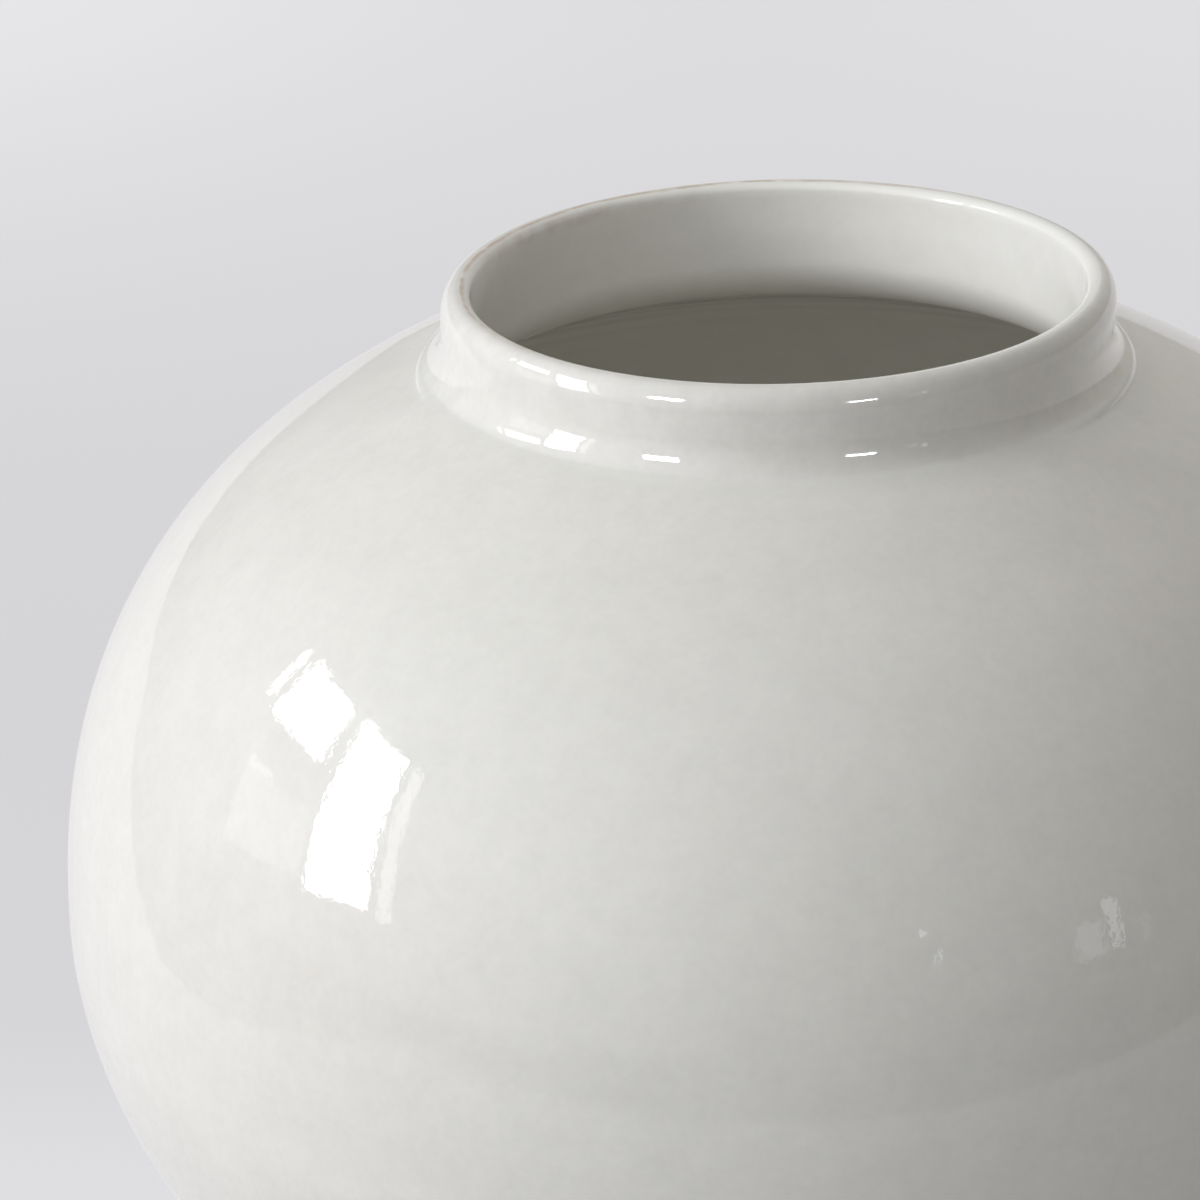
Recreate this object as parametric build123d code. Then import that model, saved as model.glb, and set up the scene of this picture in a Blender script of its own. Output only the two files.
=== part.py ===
from build123d import *
from math import cos, radians, sin, tan
import os

# A Korean moon jar in glazed white porcelain: two thrown bowls luted together at the widest
# line, a thrown collar luted on the shoulder, and a foot ring turned from the lower bowl.
# Millimetres, +Z up, origin at the centre of the foot's resting face.
# Outside and inside sizes are both taken over the glaze.

# Belly: the widest line, where the two bowls meet
belly_radius = 222.0
waist_height = 188.0

# Shoulder: from the waist up to the crease under the collar
shoulder_rise = 163.5
shoulder_slope = 22.0
shoulder_fullness_share = 0.784
shoulder_ease_share = 0.12

# Lower bowl: from the waist down to the crease above the foot
bowl_slope = 24.0
bowl_fullness_share = 0.49
bowl_ease_share = 0.32

# Collar and lip
neck_radius = 97.8
lip_width = 8.6
lip_outer_width = 5.0
lip_outer_drop = 7.5
lip_inner_drop = 2.4
collar_height = 26.1
collar_spread = 6.8
flare_rise = 13.0
flare_neck_ease = 5.2
flare_foot_ease = 3.6
flare_turn = 70.0
bead_radius = 1.8
bead_lift = 0.5
throat_round = 16.0

# Foot ring and the recess under the base
foot_root_radius = 84.0
foot_height = 10.0
foot_taper = 1.5
foot_width = 12.5
foot_edge_round = 1.5
foot_root_round = 4.0
well_depth = 9.0
well_round = 3.0

# Walls and glaze
belly_wall = 8.0
shoulder_wall = 7.0
throat_wall = 14.0
base_thickness = 13.0
floor_radius = 58.0
glaze = 0.6
glaze_pool = 3.0
bare_band = 3.0

# Luted joints
slip = 1.0
waist_tongue = 3.0
seam_bead_radius = 2.5

# How far a cutting outline runs past what it cuts
overrun = 20.0


# Steps along and square to a slope that falls away from the axis
def along(angle, length):
    """A step down the slope, away from the axis."""
    return Vector(length * cos(radians(angle)), -length * sin(radians(angle)))


def square_to(angle, length):
    """A step out of the slope, up and away from the axis."""
    return Vector(length * sin(radians(angle)), length * cos(radians(angle)))


def corner_shift(angle, depth):
    """How far a corner between a slope and an upright side moves along that side with depth."""
    return depth * cos(radians(angle)) - depth * (1 - sin(radians(angle))) * tan(radians(angle))


# Places worked out from the sizes above
base_radius = neck_radius + collar_spread
crease_height = waist_height + shoulder_rise
bead_height = crease_height + bead_lift
flare_height = bead_height + flare_rise
crown_height = crease_height + collar_height
crown_radius = neck_radius - lip_outer_width
bore_radius = neck_radius - lip_width
inner_belly_radius = belly_radius - belly_wall - 2 * glaze
floor_height = well_depth + base_thickness + 2 * glaze
well_radius = foot_root_radius - foot_taper - foot_width
ceiling_drop = (throat_wall + 2 * glaze) / cos(radians(shoulder_slope))
ceiling_edge = Vector(base_radius, crease_height - ceiling_drop)
throat_edge = bore_radius + throat_round * (1 - sin(radians(shoulder_slope)))
throat_rise = (ceiling_edge.X - throat_edge) * tan(radians(shoulder_slope))
throat_height = ceiling_edge.Y + throat_rise + throat_round * cos(radians(shoulder_slope))


# The outside, at a depth under the glazed surface
def outer_lip(depth):
    """The broad outer quarter of the lip, from the side of the neck up to the crown."""
    centre = (crown_radius, crown_height - lip_outer_drop)
    return EllipticalCenterArc(centre, lip_outer_width - depth, lip_outer_drop - depth, 0)


def inner_lip(depth):
    """The tighter inner quarter of the lip, from the crown to the bore."""
    centre = (crown_radius, crown_height - lip_inner_drop)
    width = lip_width - lip_outer_width
    return EllipticalCenterArc(centre, width - depth, lip_inner_drop - depth, 90)


def collar_outside(depth):
    """Upright neck, hollow flare that tightens downwards, and the small bead at its foot."""
    full_turn = Vector(cos(radians(flare_turn)), sin(radians(flare_turn)))
    half_turn = Vector(cos(radians(flare_turn / 2)), sin(radians(flare_turn / 2)))
    bead_centre = Vector(base_radius - bead_radius, bead_height)
    neck = Vector(neck_radius - depth, crown_height - lip_outer_drop)
    flare_start = Vector(neck_radius - depth, flare_height)
    flare_end = bead_centre + full_turn * (bead_radius - depth)
    below_start = flare_start - Vector(0, flare_neck_ease)
    before_end = flare_end - along(90 - flare_turn, flare_foot_ease)
    bead_middle = bead_centre + half_turn * (bead_radius - depth)
    bead_side = bead_centre + Vector(bead_radius - depth, 0)
    return [
        Line(neck, flare_start),
        Bezier(flare_start, below_start, before_end, flare_end),
        ThreePointArc(flare_end, bead_middle, bead_side),
    ]


def crease(depth):
    """The corner between the side of the bead and the shoulder."""
    return Vector(base_radius - depth, crease_height - corner_shift(shoulder_slope, depth))


def crease_outside(depth, pooled):
    """The foot of the collar, with glaze pooled in the crease or as a sharp corner of clay."""
    corner = crease(depth)
    above = Vector(corner.X, bead_height)
    below = corner + along(shoulder_slope, glaze_pool)
    if pooled:
        return [Bezier(above, corner, below)]
    return [Line(above, corner), Line(corner, below)]


def shoulder_outside(depth):
    """The full curve of the shoulder, from the crease to the waist."""
    start = crease(depth) + along(shoulder_slope, glaze_pool)
    ease = crease(depth) + along(shoulder_slope, shoulder_ease_share * (belly_radius - base_radius))
    side = belly_radius - depth
    full = waist_height + shoulder_fullness_share * shoulder_rise
    return Bezier(start, ease, (side, full), (side, waist_height))


def foot_crease(depth):
    """The corner between the lower bowl and the side of the foot ring."""
    return Vector(foot_root_radius - depth, foot_height + corner_shift(bowl_slope, depth))


def bowl_outside(depth):
    """The lower bowl, from the waist to the root of the foot ring."""
    end = foot_crease(depth) + along(-bowl_slope, foot_root_round)
    ease = foot_crease(depth) + along(-bowl_slope, bowl_ease_share * (belly_radius - foot_root_radius))
    side = belly_radius - depth
    full = waist_height - bowl_fullness_share * (waist_height - foot_height)
    return Bezier((side, waist_height), (side, full), ease, end)


def foot_side(depth, height):
    """A place on the tapered outer side of the foot ring."""
    return Vector(foot_root_radius - depth - foot_taper * (foot_height - height) / foot_height, height)


def foot_outside(depth, end_height):
    """The soft root of the foot ring and its outer side, down to a height."""
    start = foot_crease(depth) + along(-bowl_slope, foot_root_round)
    below = foot_side(depth, foot_height - foot_root_round)
    return [Bezier(start, foot_crease(depth), below), Line(below, foot_side(depth, end_height))]


def outside(depth, end_height, pooled):
    """The whole outside, from the crown of the lip to a height on the foot ring."""
    return [
        outer_lip(depth),
        *collar_outside(depth),
        *crease_outside(depth, pooled),
        shoulder_outside(depth),
        bowl_outside(depth),
        *foot_outside(depth, end_height),
    ]


# The inside, at a depth under the glazed surface
def throat_inside(depth):
    """The bore of the collar, its rounded lower edge and the start of the ceiling."""
    middle_angle = radians((90 - shoulder_slope) / 2)
    centre = Vector(bore_radius + throat_round, throat_height)
    start = Vector(bore_radius + depth, throat_height)
    middle = centre - Vector(cos(middle_angle), sin(middle_angle)) * (throat_round - depth)
    end = centre - square_to(shoulder_slope, throat_round - depth)
    return [
        Line((bore_radius + depth, crown_height - lip_inner_drop), start),
        ThreePointArc(start, middle, end),
        Line(end, ceiling_edge + square_to(shoulder_slope, depth)),
    ]


def shoulder_inside(depth):
    """The underside of the shoulder, down to the waist."""
    start = ceiling_edge + square_to(shoulder_slope, depth)
    ease = start + along(shoulder_slope, shoulder_ease_share * (inner_belly_radius - ceiling_edge.X))
    side = inner_belly_radius + depth
    full = waist_height + shoulder_fullness_share * shoulder_rise - shoulder_wall - 2 * glaze + depth
    return Bezier(start, ease, (side, full), (side, waist_height))


def bowl_inside(depth):
    """The inside of the lower bowl, easing into a level floor that runs to the axis."""
    level = floor_height - depth
    side = inner_belly_radius + depth
    full = waist_height - bowl_fullness_share * (waist_height - floor_height)
    ease = floor_radius + bowl_ease_share * (inner_belly_radius - floor_radius)
    return [
        Bezier((side, waist_height), (side, full), (ease, level), (floor_radius, level)),
        Line((floor_radius, level), (0, level)),
    ]


def inside(depth):
    """The whole inside, from the crown of the lip to the middle of the floor."""
    return [inner_lip(depth), *throat_inside(depth), shoulder_inside(depth), *bowl_inside(depth)]


# The underside
def well(depth, end_height):
    """The recess in the foot ring, from the axis to a height on its side."""
    level = well_depth + depth
    side = well_radius + depth
    start = Vector(side - well_round, level)
    end = Vector(side, level - well_round)
    return [
        Line((0, level), start),
        Bezier(start, (side, level), end),
        Line(end, (side, end_height)),
    ]


def resting_face():
    """The bare clay face that the jar stands on, with both edges rounded."""
    outer = foot_side(glaze, foot_edge_round)
    inner = Vector(well_radius + glaze, foot_edge_round)
    outer_foot = Vector(outer.X - foot_edge_round, 0)
    inner_foot = Vector(inner.X + foot_edge_round, 0)
    return [
        Bezier(inner, (inner.X, 0), inner_foot),
        Line(inner_foot, outer_foot),
        Bezier(outer_foot, (outer.X, 0), outer),
    ]


# Sections: radius along X, height along Y
def clay_section():
    """All the clay in one outline, before the joints divide it."""
    return make_face(
        [
            *outside(glaze, foot_edge_round, False),
            *resting_face(),
            *well(glaze, foot_edge_round),
            Line((0, well_depth + glaze), (0, floor_height - glaze)),
            *inside(glaze),
        ]
    )


def above_the_waist(rise):
    """All that lies over the tongued joint of the bowls, lifted by a rise."""
    inner = inner_belly_radius + glaze
    outer = belly_radius - glaze
    level = waist_height + rise
    top = crown_height + overrun
    return Polygon(
        (0, level),
        (inner, level),
        ((inner + outer) / 2, level + waist_tongue),
        (outer, level),
        (outer + overrun, level),
        (outer + overrun, top),
        (0, top),
        align=None,
    )


def above_the_seat(rise):
    """All that lies over the level seat of the collar, lifted by a rise."""
    level = crease(glaze).Y + rise
    top = crown_height + overrun
    return Polygon((0, level), (base_radius, level), (base_radius, top), (0, top), align=None)


def seam_roll(radius):
    """The roll of slip that the joint of the bowls squeezes out inside."""
    return Pos(inner_belly_radius + glaze, waist_height) * Circle(radius)


def crown_cap():
    """The line where the outer and inner coats meet on the lip."""
    return Line((crown_radius, crown_height - glaze), (crown_radius, crown_height))


def outer_glaze_section():
    """The coat over lip, collar, shoulder, belly and most of the foot ring."""
    return make_face(
        [
            *outside(0, bare_band, True),
            Line(foot_side(0, bare_band), foot_side(glaze, bare_band)),
            *outside(glaze, bare_band, False),
            crown_cap(),
        ]
    )


def inner_glaze_section(clay):
    """The poured coat inside, which swells over the roll of slip."""
    middle = Line((0, floor_height), (0, floor_height - glaze))
    coat = make_face([*inside(0), middle, *inside(glaze), crown_cap()])
    swell = seam_roll(seam_bead_radius + glaze) - clay
    return coat + swell - seam_roll(seam_bead_radius)


def well_glaze_section():
    """The coat in the recess under the base."""
    return make_face(
        [
            *well(0, bare_band),
            Line((well_radius, bare_band), (well_radius + glaze, bare_band)),
            *well(glaze, bare_band),
            Line((0, well_depth), (0, well_depth + glaze)),
        ]
    )


def sections():
    """Each piece's name and its section."""
    clay = clay_section()
    over_bowl = above_the_waist(-slip / 2)
    over_slip = above_the_waist(slip / 2)
    over_seat = above_the_seat(0)
    over_bed = above_the_seat(slip)
    return {
        "lower_bowl": clay - over_bowl,
        "waist_slip": (clay & over_bowl) - over_slip + (seam_roll(seam_bead_radius) - clay),
        "upper_bowl": (clay & over_slip) - over_seat,
        "collar_slip": (clay & over_seat) - over_bed,
        "neck_collar": clay & over_bed,
        "outer_glaze": outer_glaze_section(),
        "inner_glaze": inner_glaze_section(clay),
        "foot_well_glaze": well_glaze_section(),
    }


def turned(section):
    """A section carried once round the jar's axis."""
    return revolve(Plane.XZ * section, Axis.Z)


os.makedirs("parts", exist_ok=True)
for name, section in sections().items():
    export_step(turned(section), f"parts/{name}.step")
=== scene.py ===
"""A large white porcelain moon jar on a pale floor, in window light from the left.

Metres, +Z up, with the origin at the middle of the foot's resting face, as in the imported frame.
Every piece is a half outline, radius and height, carried once round the axis, and then bent by
one gentle field of hand-thrown unevenness, so that the coats of glaze stay on their clay.
"""

import logging
from collections.abc import Callable
from dataclasses import dataclass
from enum import Enum
from math import comb, cos, pi, radians, sin, tan

import bpy
import numpy as np
from mathutils import Matrix, Vector


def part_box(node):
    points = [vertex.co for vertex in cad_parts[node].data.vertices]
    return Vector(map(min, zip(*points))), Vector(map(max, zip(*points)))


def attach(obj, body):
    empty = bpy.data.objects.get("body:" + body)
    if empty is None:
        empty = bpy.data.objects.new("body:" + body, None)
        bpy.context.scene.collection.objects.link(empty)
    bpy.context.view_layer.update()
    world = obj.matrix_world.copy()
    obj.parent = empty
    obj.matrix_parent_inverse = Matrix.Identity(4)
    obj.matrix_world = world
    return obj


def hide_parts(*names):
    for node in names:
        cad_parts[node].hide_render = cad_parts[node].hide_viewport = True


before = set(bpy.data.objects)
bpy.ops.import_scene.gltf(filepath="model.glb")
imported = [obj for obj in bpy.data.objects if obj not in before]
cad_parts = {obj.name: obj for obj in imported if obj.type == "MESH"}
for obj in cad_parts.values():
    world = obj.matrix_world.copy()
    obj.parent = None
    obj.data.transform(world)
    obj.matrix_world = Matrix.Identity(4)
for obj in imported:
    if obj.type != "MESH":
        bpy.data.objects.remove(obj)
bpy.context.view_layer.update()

MM = 0.001
BODY = "root"
DIFFUSE_BOUNCES = 12
FINE_STEPS = 400
LOG = logging.getLogger("moon_jar")


class Slot(Enum):
    """The finishes that the record names."""

    CLAY = "porcelain_body"
    SLIP = "porcelain_slip"
    OUTER_GLAZE = "outer_glaze"
    INNER_GLAZE = "inner_glaze"


# Outlines, as one row per point with its radius and height


def straight(start: tuple[float, float], end: tuple[float, float]) -> Callable:
    """A line as a function of a share from 0 to 1: start plus the share of the way to end."""
    a, b = np.array(start), np.array(end)
    return lambda share: a + np.outer(share, b - a)


def ellipse(centre: tuple[float, float], radii: tuple[float, float], turn: tuple[float, float]) -> Callable:
    """An arc as a function of a share from 0 to 1.

    The angle runs evenly between the two turns, and the point is the centre plus the radii times
    its cosine and sine.

    Args:
        centre: The arc's centre, radius and height.
        radii: Its half width and half height.
        turn: First and last angle in degrees, from the outward direction up.

    Returns:
        The function of the share.
    """
    first, last = radians(turn[0]), radians(turn[1])

    def at(share: np.ndarray) -> np.ndarray:
        """Points of the arc."""
        angle = first + share * (last - first)
        return np.array(centre) + np.stack([radii[0] * np.cos(angle), radii[1] * np.sin(angle)], -1)

    return at


def bezier(*poles: tuple[float, float]) -> Callable:
    """A Bezier curve as a function of a share from 0 to 1: its poles times their Bernstein terms, summed.

    Args:
        poles: The curve's poles, first to last.

    Returns:
        The function of the share.
    """
    points, order = np.array(poles), len(poles) - 1

    def at(share: np.ndarray) -> np.ndarray:
        """Points of the curve."""
        terms = [comb(order, k) * share**k * (1 - share) ** (order - k) for k in range(order + 1)]
        return np.stack(terms, -1) @ points

    return at


def run_along(points: np.ndarray) -> np.ndarray:
    """The length from the first point to each point."""
    return np.r_[0, np.cumsum(np.linalg.norm(np.diff(points, axis=0), axis=1))]


def at_lengths(curve: Callable, shares: np.ndarray) -> np.ndarray:
    """Points of a curve at shares of its length.

    Args:
        curve: A function of a share from 0 to 1.
        shares: How far along each point lies.

    Returns:
        The points.
    """
    fine = np.linspace(0, 1, FINE_STEPS)
    run = run_along(curve(fine))
    return curve(np.interp(shares * run[-1], run, fine))


def traced(curve: Callable, step: float, crowded: bool = False) -> np.ndarray:
    """Points along a curve, evenly spaced by length.

    Args:
        curve: A function of a share from 0 to 1.
        step: The wanted spacing.
        crowded: Whether they crowd towards the start instead, as one minus a cosine does.

    Returns:
        The points, both ends included.
    """
    length = run_along(curve(np.linspace(0, 1, FINE_STEPS)))[-1]
    count = max(3, int(np.ceil(length / step)) + 1)
    shares = np.linspace(0, 1, count)
    return at_lengths(curve, 1 - np.cos(shares * pi / 2) if crowded else shares)


def chained(*strokes: np.ndarray) -> np.ndarray:
    """Strokes end to end as one outline, without repeated points.

    Args:
        strokes: The outlines, in order.

    Returns:
        The outline's points.
    """
    points = np.concatenate(strokes)
    apart = np.linalg.norm(np.diff(points, axis=0), axis=1) > 1e-3 * MM
    return points[np.r_[True, apart]]


def between(points: np.ndarray, low: float, high: float) -> np.ndarray:
    """The stretch of an outline that lies between two heights.

    Args:
        points: An outline whose height only rises or only falls in that stretch.
        low: The lower height.
        high: The upper height.

    Returns:
        The points between them, with a point worked out at each height that the outline crosses.
    """
    cuts = []
    for level in (low, high):
        over = points[:, 1] > level
        for i in np.flatnonzero(over[1:] != over[:-1]):
            share = (level - points[i, 1]) / (points[i + 1, 1] - points[i, 1])
            cuts.append((i + share, points[i] + share * (points[i + 1] - points[i])))
    inside = np.flatnonzero((points[:, 1] >= low) & (points[:, 1] <= high))
    rows = [*((float(i), points[i]) for i in inside), *cuts]
    return chained(np.array([point for _, point in sorted(rows, key=lambda row: row[0])]))


@dataclass(frozen=True)
class JarSizes:
    """The jar's sizes, and the places and steps that follow from them."""

    belly_radius: float
    waist_height: float
    inner_belly_radius: float
    base_radius: float
    crease_height: float
    crown_height: float
    floor_height: float
    well_depth: float
    well_radius: float
    glaze: float = 0.6 * MM
    glaze_pool: float = 3 * MM
    bare_band: float = 3 * MM
    slip: float = 1 * MM
    waist_tongue: float = 3 * MM
    seam_roll: float = 2.5 * MM
    shoulder_slope: float = 22.0
    shoulder_fullness_share: float = 0.784
    shoulder_ease_share: float = 0.12
    shoulder_wall: float = 7 * MM
    throat_wall: float = 14 * MM
    bowl_slope: float = 24.0
    bowl_fullness_share: float = 0.49
    bowl_ease_share: float = 0.32
    lip_width: float = 8.6 * MM
    lip_outer_width: float = 5 * MM
    lip_outer_drop: float = 7.5 * MM
    lip_inner_drop: float = 2.4 * MM
    collar_spread: float = 6.8 * MM
    flare_rise: float = 13 * MM
    flare_neck_ease: float = 5.2 * MM
    flare_foot_ease: float = 3.6 * MM
    flare_turn: float = 70.0
    bead_radius: float = 1.8 * MM
    bead_lift: float = 0.5 * MM
    throat_round: float = 16 * MM
    foot_root_radius: float = 84 * MM
    foot_height: float = 10 * MM
    foot_taper: float = 1.5 * MM
    foot_edge_round: float = 1.5 * MM
    foot_root_round: float = 4 * MM
    well_round: float = 3 * MM
    floor_radius: float = 58 * MM
    flow_start: float = 102 * MM
    flow_end: float = 146 * MM
    flow_ease_share: float = 0.33

    @classmethod
    def from_frame(cls) -> "JarSizes":
        """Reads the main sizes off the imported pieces' boxes.

        Returns:
            The jar's sizes.
        """
        glaze, slip, tongue, slope = cls.glaze, cls.slip, cls.waist_tongue, cls.shoulder_slope
        outer, inner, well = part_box("outer_glaze"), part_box("inner_glaze"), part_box("foot_well_glaze")
        return cls(
            belly_radius=outer[1].x,
            waist_height=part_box("lower_bowl")[1].z - tongue + slip / 2,
            inner_belly_radius=inner[1].x - glaze,
            base_radius=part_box("neck_collar")[1].x + glaze,
            crease_height=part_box("collar_slip")[0].z + cls.corner_shift(slope, glaze),
            crown_height=outer[1].z,
            floor_height=inner[0].z + glaze,
            well_depth=well[1].z - glaze,
            well_radius=well[1].x - glaze,
        )

    @staticmethod
    def corner_shift(slope: float, depth: float) -> float:
        """How far a corner between a slope and an upright side moves along that side with depth."""
        return depth * cos(radians(slope)) - depth * (1 - sin(radians(slope))) * tan(radians(slope))

    @staticmethod
    def along(slope: float, length: float) -> np.ndarray:
        """A step down a slope, away from the axis."""
        return length * np.array([cos(radians(slope)), -sin(radians(slope))])

    @staticmethod
    def square_to(slope: float, length: float) -> np.ndarray:
        """A step out of a slope, up and away from the axis."""
        return length * np.array([sin(radians(slope)), cos(radians(slope))])

    @property
    def neck_radius(self) -> float:
        """The outside of the upright neck."""
        return self.base_radius - self.collar_spread

    @property
    def crown_radius(self) -> float:
        """The circle of the lip's crown."""
        return self.neck_radius - self.lip_outer_width

    @property
    def bead_height(self) -> float:
        """The height of the bead at the collar's foot."""
        return self.crease_height + self.bead_lift

    @property
    def ceiling_edge(self) -> np.ndarray:
        """The place under the crease where the inside turns from throat to ceiling."""
        drop = (self.throat_wall + 2 * self.glaze) / cos(radians(self.shoulder_slope))
        return np.array([self.base_radius, self.crease_height - drop])

    def flowing_foot(self, outline: np.ndarray) -> np.ndarray:
        """The same outside where the collar's foot flows into the shoulder with no bead.

        From the flare's end to the shoulder's brow, each point moves to the same share of the way
        along one cubic curve that leaves and meets the outline in its own directions.

        Args:
            outline: The outside, from the crown of the lip downwards.

        Returns:
            The changed outline, with as many points.
        """
        start, end = (int(np.argmax(outline[:, 0] > reach)) for reach in (self.flow_start, self.flow_end))
        stretch = outline[start : end + 1]
        length = run_along(stretch)
        leave = self.along(90 - self.flare_turn, self.flow_ease_share * length[-1])
        meet = stretch[-1] - stretch[-2]
        meet = meet / np.linalg.norm(meet) * self.flow_ease_share * length[-1]
        curve = bezier(stretch[0], stretch[0] + leave, stretch[-1] - meet, stretch[-1])
        moved = at_lengths(curve, length / length[-1])
        return np.concatenate([outline[:start], moved, outline[end + 1 :]])

    def foot_side(self, depth: float, height: float) -> tuple[float, float]:
        """A place on the tapered outer side of the foot ring."""
        lean = self.foot_taper * (self.foot_height - height) / self.foot_height
        return (self.foot_root_radius - depth - lean, height)

    def waist_joint(self, rise: float) -> np.ndarray:
        """The tongued joint of the bowls, from inside to outside.

        Args:
            rise: How far it is lifted.

        Returns:
            Its three points.
        """
        inner, outer = self.inner_belly_radius + self.glaze, self.belly_radius - self.glaze
        level = self.waist_height + rise
        return np.array([(inner, level), ((inner + outer) / 2, level + self.waist_tongue), (outer, level)])


@dataclass(frozen=True)
class Surface:
    """The outlines of one surface of the jar, at a depth under the glaze and with points a step apart."""

    jar: JarSizes
    depth: float
    step: float

    def lip_quarter(self, width: float, drop: float, end: float) -> np.ndarray:
        """A quarter of the lip as a quarter ellipse from the crown down, with points crowded at the crown.

        Args:
            width: How far the quarter reaches to its side.
            drop: How far it reaches down.
            end: Its last angle in degrees, from the outward direction up.

        Returns:
            The outline's points.
        """
        centre = (self.jar.crown_radius, self.jar.crown_height - drop)
        radii = (width - self.depth, drop - self.depth)
        return traced(ellipse(centre, radii, (90, end)), self.step / 5, crowded=True)

    def outer_lip(self) -> np.ndarray:
        """The broad outer quarter of the lip."""
        return self.lip_quarter(self.jar.lip_outer_width, self.jar.lip_outer_drop, 0)

    def inner_lip(self) -> np.ndarray:
        """The tighter inner quarter of the lip."""
        return self.lip_quarter(self.jar.lip_width - self.jar.lip_outer_width, self.jar.lip_inner_drop, 180)

    def collar(self) -> np.ndarray:
        """Upright neck, hollow flare that tightens downwards, and the small bead at its foot.

        Returns:
            The outline's points.
        """
        jar, step = self.jar, self.step / 3
        turn, round_off = radians(jar.flare_turn), jar.bead_radius - self.depth
        bead = np.array([jar.base_radius - jar.bead_radius, jar.bead_height])
        end = bead + round_off * np.array([cos(turn), sin(turn)])
        side = jar.neck_radius - self.depth
        start = np.array([side, jar.bead_height + jar.flare_rise])
        below = start - np.array([0, jar.flare_neck_ease])
        before = end - jar.along(90 - jar.flare_turn, jar.flare_foot_ease)
        return chained(
            traced(straight((side, jar.crown_height - jar.lip_outer_drop), start), step),
            traced(bezier(start, below, before, end), step),
            traced(ellipse(bead, (round_off, round_off), (jar.flare_turn, 0)), step / 3),
        )

    def crease(self) -> np.ndarray:
        """The corner between the side of the bead and the shoulder."""
        drop = self.jar.corner_shift(self.jar.shoulder_slope, self.depth)
        return np.array([self.jar.base_radius - self.depth, self.jar.crease_height - drop])

    def shoulder(self) -> np.ndarray:
        """The pooled crease and the full curve of the shoulder, down to the waist.

        Returns:
            The outline's points.
        """
        jar, corner = self.jar, self.crease()
        start = corner + jar.along(jar.shoulder_slope, jar.glaze_pool)
        reach = jar.shoulder_ease_share * (jar.belly_radius - jar.base_radius)
        side = jar.belly_radius - self.depth
        full = jar.waist_height + jar.shoulder_fullness_share * (jar.crease_height - jar.waist_height)
        ease = corner + jar.along(jar.shoulder_slope, reach)
        return chained(
            traced(bezier((corner[0], jar.bead_height), corner, start), self.step / 4),
            traced(bezier(start, ease, (side, full), (side, jar.waist_height)), self.step),
        )

    def bowl(self, end_height: float) -> np.ndarray:
        """The lower bowl, the soft root of the foot ring and its side.

        Args:
            end_height: The height on the foot ring where it ends.

        Returns:
            The outline's points.
        """
        jar, depth, step = self.jar, self.depth, self.step
        rise = jar.corner_shift(jar.bowl_slope, depth)
        corner = np.array([jar.foot_root_radius - depth, jar.foot_height + rise])
        root = corner + jar.along(-jar.bowl_slope, jar.foot_root_round)
        reach = jar.bowl_ease_share * (jar.belly_radius - jar.foot_root_radius)
        side = jar.belly_radius - depth
        full = jar.waist_height - jar.bowl_fullness_share * (jar.waist_height - jar.foot_height)
        ease = corner + jar.along(-jar.bowl_slope, reach)
        below = jar.foot_side(depth, jar.foot_height - jar.foot_root_round)
        return chained(
            traced(bezier((side, jar.waist_height), (side, full), ease, root), step),
            traced(bezier(root, corner, below), step / 2),
            traced(straight(below, jar.foot_side(depth, end_height)), step / 2),
        )

    def outside(self, end_height: float) -> np.ndarray:
        """The whole outside, from the crown of the lip down to a height on the foot ring."""
        return chained(self.outer_lip(), self.collar(), self.shoulder(), self.bowl(end_height))

    def throat(self) -> np.ndarray:
        """The bore of the collar, its rounded lower edge and the start of the ceiling.

        Returns:
            The outline's points.
        """
        jar, slope, edge = self.jar, self.jar.shoulder_slope, self.jar.ceiling_edge
        bore = jar.neck_radius - jar.lip_width
        shift = bore + jar.throat_round * (1 - sin(radians(slope)))
        rise = (edge[0] - shift) * tan(radians(slope))
        height = edge[1] + rise + jar.throat_round * cos(radians(slope))
        centre, radius = (bore + jar.throat_round, height), jar.throat_round - self.depth
        round_off = traced(ellipse(centre, (radius, radius), (180, 270 - slope)), self.step / 2)
        side, top = bore + self.depth, jar.crown_height - jar.lip_inner_drop
        return chained(
            traced(straight((side, top), (side, height)), self.step),
            round_off,
            traced(straight(round_off[-1], edge + jar.square_to(slope, self.depth)), self.step),
        )

    def inside(self) -> np.ndarray:
        """The whole inside, from the crown of the lip to the middle of the floor.

        Returns:
            The outline's points.
        """
        jar, depth = self.jar, self.depth
        start = jar.ceiling_edge + jar.square_to(jar.shoulder_slope, depth)
        reach = jar.shoulder_ease_share * (jar.inner_belly_radius - jar.ceiling_edge[0])
        ease = start + jar.along(jar.shoulder_slope, reach)
        side, level = jar.inner_belly_radius + depth, jar.floor_height - depth
        rise = jar.shoulder_fullness_share * (jar.crease_height - jar.waist_height)
        high = jar.waist_height + rise - jar.shoulder_wall - 2 * jar.glaze + depth
        low = jar.waist_height - jar.bowl_fullness_share * (jar.waist_height - jar.floor_height)
        settle = jar.floor_radius + jar.bowl_ease_share * (jar.inner_belly_radius - jar.floor_radius)
        waist, floor = (side, jar.waist_height), (jar.floor_radius, level)
        wall = chained(
            traced(bezier(start, ease, (side, high), waist), self.step),
            traced(bezier(waist, (side, low), (settle, level), floor), self.step),
        )
        middle = traced(straight(floor, (0, level)), 2 * self.step)
        return chained(self.inner_lip(), self.throat(), self.over_the_roll(wall), middle)

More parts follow.
